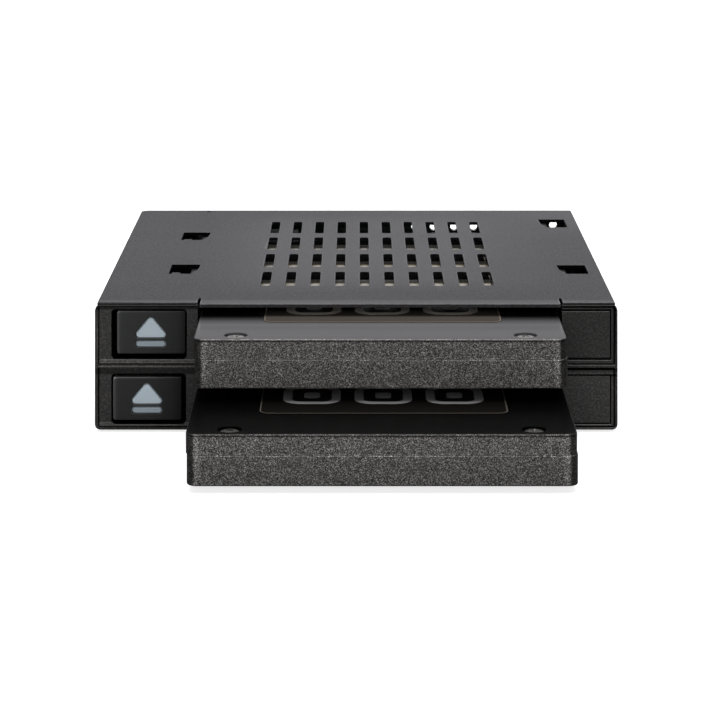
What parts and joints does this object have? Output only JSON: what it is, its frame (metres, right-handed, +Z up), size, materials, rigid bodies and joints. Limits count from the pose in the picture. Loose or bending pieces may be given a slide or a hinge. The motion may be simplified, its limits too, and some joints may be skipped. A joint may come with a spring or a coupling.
{
  "type": "trayless drive docking cage",
  "caption": "Docking cage for small flat drives: vented black steel shell, bezel with eject buttons and blank panels, drives that slide out of open slots.",
  "frame": {"origin": "centre of the cage's underside, on the bottom chassis", "axes": "+Z up, -Y out of the bezel, where the drives come out, +X to the right as seen from the front"},
  "size_m": [0.1016, 0.1568, 0.0247],
  "materials": {
    "black_steel": "satin black powder coat over folded steel sheet",
    "black_abs": "fine textured black plastic",
    "button_abs": "smoother black plastic",
    "lens": "pale blue-grey translucent light pipe",
    "guide_plastic": "black plastic",
    "zinc": "zinc plated steel",
    "black_screw": "black zinc plated",
    "bright_steel": "bright nickel plated steel",
    "board": "glass fibre circuit board with green solder mask",
    "connector": "black connector housing",
    "led": "clear lamp body",
    "ribbon": "grey ribbon cable",
    "drive_lid": "satin grey painted metal",
    "drive_base": "sand blasted gunmetal",
    "label": "dark film with a pale line round its edge"
  },
  "bodies": {
    "enclosure": {"backplane_board": "board", "backplane_screw_left": "bright_steel", "backplane_screw_right": "bright_steel", "bottom_chassis": "black_steel", "button_light_board": "board", "cover_screw_front_left": "black_screw", "cover_screw_front_right": "black_screw", "cover_screw_rear_left": "black_screw", "cover_screw_rear_right": "black_screw", "divider_shelf": "black_steel", "front_bezel": "black_abs", "front_rod_guide": "guide_plastic", "left_drive_guide": "guide_plastic", "lever_pin": "bright_steel", "lever_spacer_lower": "zinc", "lever_spacer_middle": "zinc", "lever_spacer_upper": "zinc", "light_ribbon_cable": "ribbon", "lower_button_light": "led", "lower_data_connector": "connector", "lower_drive_socket": "connector", "lower_power_connector": "connector", "lower_return_spring": "bright_steel", "rear_rod_guide": "guide_plastic", "right_drive_guide": "guide_plastic", "top_cover": "black_steel", "upper_button_light": "led", "upper_data_connector": "connector", "upper_drive_socket": "connector", "upper_power_connector": "connector", "upper_return_spring": "bright_steel"},
    "upper_button": {"upper_eject_button": "button_abs", "upper_eject_icon_lens": "lens", "upper_push_rod": "zinc"},
    "upper_lever": {"upper_eject_lever": "zinc"},
    "upper_slider": {"upper_eject_slider": "zinc"},
    "upper_drive": {"upper_drive_base": "drive_base", "upper_drive_board": "board", "upper_drive_connector": "connector", "upper_drive_label": "label", "upper_drive_lid": "drive_lid", "upper_drive_screw_front_left": "bright_steel", "upper_drive_screw_front_right": "bright_steel", "upper_drive_screw_rear_left": "bright_steel", "upper_drive_screw_rear_right": "bright_steel"},
    "lower_button": {"lower_eject_button": "button_abs", "lower_eject_icon_lens": "lens", "lower_push_rod": "zinc"},
    "lower_lever": {"lower_eject_lever": "zinc"},
    "lower_slider": {"lower_eject_slider": "zinc"},
    "lower_drive": {"lower_drive_base": "drive_base", "lower_drive_board": "board", "lower_drive_connector": "connector", "lower_drive_label": "label", "lower_drive_lid": "drive_lid", "lower_drive_screw_front_left": "bright_steel", "lower_drive_screw_front_right": "bright_steel", "lower_drive_screw_rear_left": "bright_steel", "lower_drive_screw_rear_right": "bright_steel"}
  },
  "joints": [
    {"name": "upper_button_press", "type": "slide", "parent": "enclosure", "child": "upper_button", "axis": [0, 1, 0], "range_m": [-0.0012, 0.0028], "stiffness_N_per_m": 150, "springref_m": -0.0052, "deforming": ["upper_return_spring"]},
    {"name": "upper_lever_turn", "type": "hinge", "parent": "enclosure", "child": "upper_lever", "pos_m": [-0.0365, 0.0465, 0.0178], "axis": [0, 0, -1], "range_deg": [-8.2, 19.05]},
    {"name": "upper_slider_push", "type": "slide", "parent": "enclosure", "child": "upper_slider", "axis": [0, -1, 0], "range_m": [-0.0029, 0.0068]},
    {"name": "upper_drive_slide", "type": "slide", "parent": "upper_slider", "child": "upper_drive", "axis": [0, -1, 0], "range_m": [-0.0179, 0.083]},
    {"name": "lower_button_press", "type": "slide", "parent": "enclosure", "child": "lower_button", "axis": [0, 1, 0], "range_m": [0, 0.004], "stiffness_N_per_m": 150, "springref_m": -0.004, "deforming": ["lower_return_spring"]},
    {"name": "lower_lever_turn", "type": "hinge", "parent": "enclosure", "child": "lower_lever", "pos_m": [-0.0365, 0.0465, 0.006], "axis": [0, 0, -1], "range_deg": [0, 27.2]},
    {"name": "lower_slider_push", "type": "slide", "parent": "enclosure", "child": "lower_slider", "axis": [0, -1, 0], "range_m": [0, 0.0097]},
    {"name": "lower_drive_slide", "type": "slide", "parent": "lower_slider", "child": "lower_drive", "axis": [0, -1, 0], "range_m": [-0.044, 0.06]}
  ],
  "couplings": [
    {"joint": "upper_lever_turn", "follows": "upper_button_press", "rad_per_m": 118.25},
    {"joint": "upper_slider_push", "follows": "upper_button_press", "ratio": 2.4},
    {"joint": "lower_lever_turn", "follows": "lower_button_press", "rad_per_m": 118.25},
    {"joint": "lower_slider_push", "follows": "lower_button_press", "ratio": 2.4}
  ]
}
